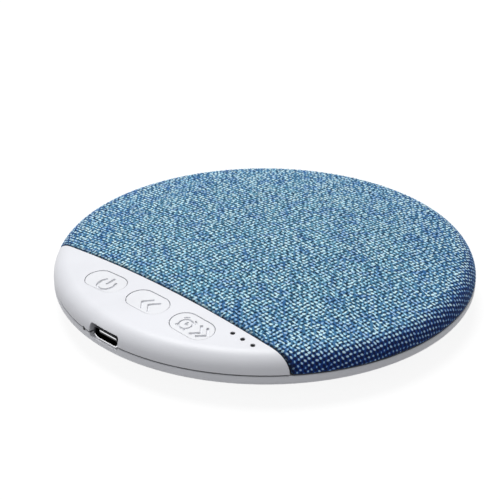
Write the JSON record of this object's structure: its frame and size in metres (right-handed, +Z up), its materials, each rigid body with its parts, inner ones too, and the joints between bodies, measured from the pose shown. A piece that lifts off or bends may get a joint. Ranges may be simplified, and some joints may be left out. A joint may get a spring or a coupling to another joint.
{
  "type": "pillow speaker",
  "caption": "Slim round pillow speaker with a fabric-covered crowned top, a white control panel with push keys and indicator lights, and a charging socket in its edge.",
  "frame": {"origin": "on the table under the middle of the disc, in the plane of the feet", "axes": "+Z up through the crowned top, -Y through the middle of the control panel and its charging socket"},
  "size_m": [0.11, 0.11, 0.0161],
  "materials": {
    "white_plastic": "satin moulded",
    "key_plastic": "satin moulded",
    "grey_plastic": "moulded",
    "black_plastic": "moulded",
    "blue_fabric": "two-tone plain weave",
    "foot_rubber": "matte silicone",
    "screw_steel": "zinc plated",
    "socket_steel": "nickel plated",
    "switch_metal": "stamped",
    "gold_contact": "gold plated",
    "board_green": "solder mask",
    "chip_black": "moulded",
    "passive_tan": "ceramic",
    "connector_ivory": "moulded",
    "led_white": "moulded",
    "smoked_clear": "smoked clear",
    "soft_foam": "closed-cell foam",
    "battery_foil": "foil pouch",
    "wire_red": "insulated",
    "wire_black": "insulated",
    "magnet_nickel": "nickel plated",
    "former_amber": "film",
    "coil_copper": "enamelled copper",
    "cone_black": "pressed film",
    "surround_rubber": "matte",
    "terminal_brown": "laminate"
  },
  "bodies": {
    "housing": {"base_cover": "white_plastic", "top_shell": "white_plastic", "grille_plate": "grey_plastic", "grille_fabric": "blue_fabric", "rubber_feet": "foot_rubber", "case_screws": "screw_steel", "key_switches": "switch_metal", "main_board": "board_green", "board_screws": "screw_steel", "usb_shell": "socket_steel", "usb_tongue": "black_plastic", "usb_contacts": "gold_contact", "indicator_leds": "led_white", "light_guide": "smoked_clear", "microphone": "socket_steel", "mic_gasket": "soft_foam", "radio_chip": "chip_black", "amplifier_chip": "chip_black", "crystal": "socket_steel", "board_passives": "passive_tan", "wire_connectors": "connector_ivory", "battery_cell": "battery_foil", "battery_pad": "soft_foam", "battery_leads": "wire_red", "driver_frame": "grey_plastic", "driver_yoke": "switch_metal", "driver_magnet": "magnet_nickel", "driver_pole_plate": "switch_metal", "surround": "surround_rubber", "driver_gasket": "soft_foam", "driver_terminals": "terminal_brown", "speaker_leads": "wire_black"},
    "power_button": {"power_key": "key_plastic", "power_plunger": "black_plastic"},
    "back_button": {"back_key": "key_plastic", "back_plunger": "black_plastic"},
    "timer_button": {"timer_key": "key_plastic", "timer_plunger": "black_plastic"},
    "diaphragm_assembly": {"diaphragm": "cone_black", "dust_cap": "cone_black", "coil_former": "former_amber", "voice_coil": "coil_copper"}
  },
  "joints": [
    {"name": "power_press", "type": "slide", "parent": "housing", "child": "power_button", "axis": [0, 0, -1], "range_m": [0, 0.0003], "stiffness_N_per_m": 4000},
    {"name": "back_press", "type": "slide", "parent": "housing", "child": "back_button", "axis": [0, 0, -1], "range_m": [0, 0.0003], "stiffness_N_per_m": 4000},
    {"name": "timer_press", "type": "slide", "parent": "housing", "child": "timer_button", "axis": [0, 0, -1], "range_m": [0, 0.0003], "stiffness_N_per_m": 4000},
    {"name": "diaphragm_excursion", "type": "slide", "parent": "housing", "child": "diaphragm_assembly", "axis": [0, 0, 1], "range_m": [-0.0005, 0.0005], "stiffness_N_per_m": 1500, "deforming": ["surround"]}
  ]
}
